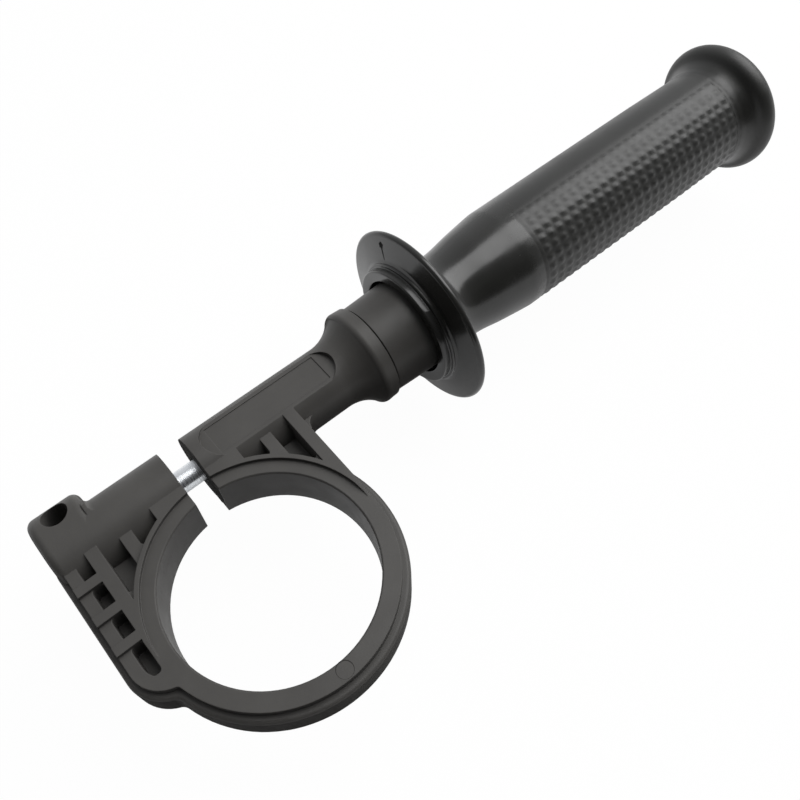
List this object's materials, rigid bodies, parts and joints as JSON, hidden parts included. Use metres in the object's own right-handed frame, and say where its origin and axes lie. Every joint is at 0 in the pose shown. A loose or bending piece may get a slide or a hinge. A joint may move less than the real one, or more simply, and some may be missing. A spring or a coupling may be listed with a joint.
{
  "type": "side_handle",
  "caption": "Side handle for a power tool: a split clamp ring with trussed lugs, drawn closed by screwing a patterned grip with a hand guard onto a long bolt",
  "frame": {"origin": "centre of the clamp bore, at the middle of its width", "axes": "+Z along the clamp bore, +X along the bolt towards the grip, +Y from the bore to the bolt"},
  "size_m": [0.287, 0.1119, 0.0628],
  "materials": {
    "clamp_plastic": "fine grained charcoal moulding",
    "grip_plastic": "glossy black moulding",
    "zinc_steel": "bright zinc plate"
  },
  "bodies": {
    "clamp": {"clamp_ring": "clamp_plastic", "bolt": "zinc_steel"},
    "washer": {"thrust_washer": "zinc_steel"},
    "handle": {"grip": "grip_plastic", "nut": "zinc_steel"}
  },
  "joints": [
    {"name": "grip_travel", "type": "slide", "parent": "clamp", "child": "washer", "axis": [1, 0, 0], "range_m": [0, 0.005]},
    {"name": "grip_turn", "type": "hinge", "parent": "washer", "child": "handle", "pos_m": [0, 0.0428, 0], "axis": [1, 0, 0], "range_deg": [0, 1441]}
  ],
  "couplings": [
    {"joint": "grip_turn", "follows": "grip_travel", "rad_per_m": 5026.5}
  ]
}
